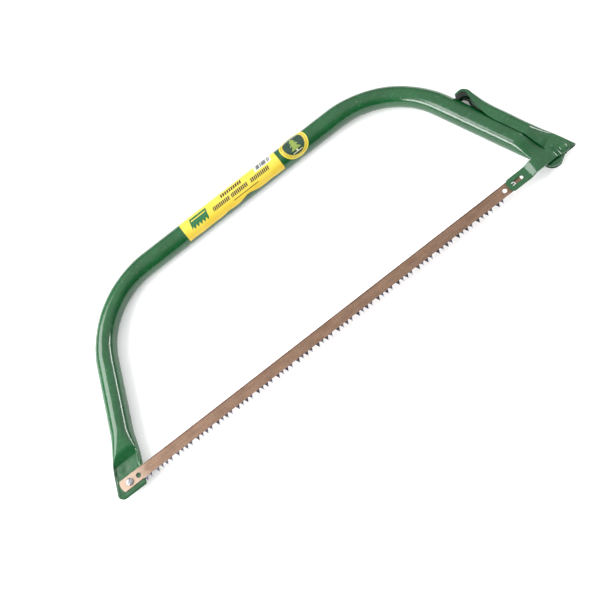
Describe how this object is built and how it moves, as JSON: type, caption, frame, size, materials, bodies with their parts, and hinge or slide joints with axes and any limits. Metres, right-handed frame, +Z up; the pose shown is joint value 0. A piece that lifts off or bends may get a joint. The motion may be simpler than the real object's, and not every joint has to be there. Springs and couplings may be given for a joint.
{
  "type": "bow saw",
  "caption": "Bow saw with a bent steel tube frame and a toothed blade, held by a screw and tightened by an over-centre lever and strap.",
  "frame": {"origin": "centre of the base of the saw's box, the saw lying on its side on the floor", "axes": "+X along the blade from its screw to the tension lever, +Y from the blade to the top bar, +Z up out of the plane of the bow"},
  "size_m": [0.714, 0.2576, 0.0306],
  "materials": {
    "frame_paint": "glossy green enamel",
    "lever_paint": "glossy green enamel on pressed sheet",
    "blade_steel": "brown lacquered spring steel with hardened teeth",
    "zinc_steel": "bright zinc plate",
    "label_paper": "printed film label"
  },
  "bodies": {
    "frame": {"frame_tube": "frame_paint", "blade_screw": "zinc_steel", "screw_washer": "zinc_steel", "blade_nut": "zinc_steel", "lever_rivet": "lever_paint", "product_label": "label_paper", "round_sticker": "label_paper"},
    "lever": {"tension_lever": "lever_paint", "strap_rivet": "lever_paint"},
    "strap": {"blade_strap": "lever_paint"},
    "blade": {"blade": "blade_steel"}
  },
  "joints": [
    {"name": "lever_pivot", "type": "hinge", "parent": "frame", "child": "lever", "pos_m": [0.32473, -0.11521, 0.015], "axis": [0, 0, -1], "range_deg": [0, 150]},
    {"name": "strap_pivot", "type": "hinge", "parent": "lever", "child": "strap", "pos_m": [0.34173, -0.1149, 0.015], "axis": [0, 0, -1], "range_deg": [-150, 0]},
    {"name": "blade_swing", "type": "hinge", "parent": "frame", "child": "blade", "pos_m": [-0.33427, -0.11321, 0.01795], "axis": [0, 0.1564, -0.9877], "range_deg": [0, 4.8]}
  ],
  "couplings": [
    {"joint": "strap_pivot", "follows": "lever_pivot", "ratio": -1},
    {"joint": "blade_swing", "follows": "lever_pivot", "ratio": 0.0317}
  ]
}
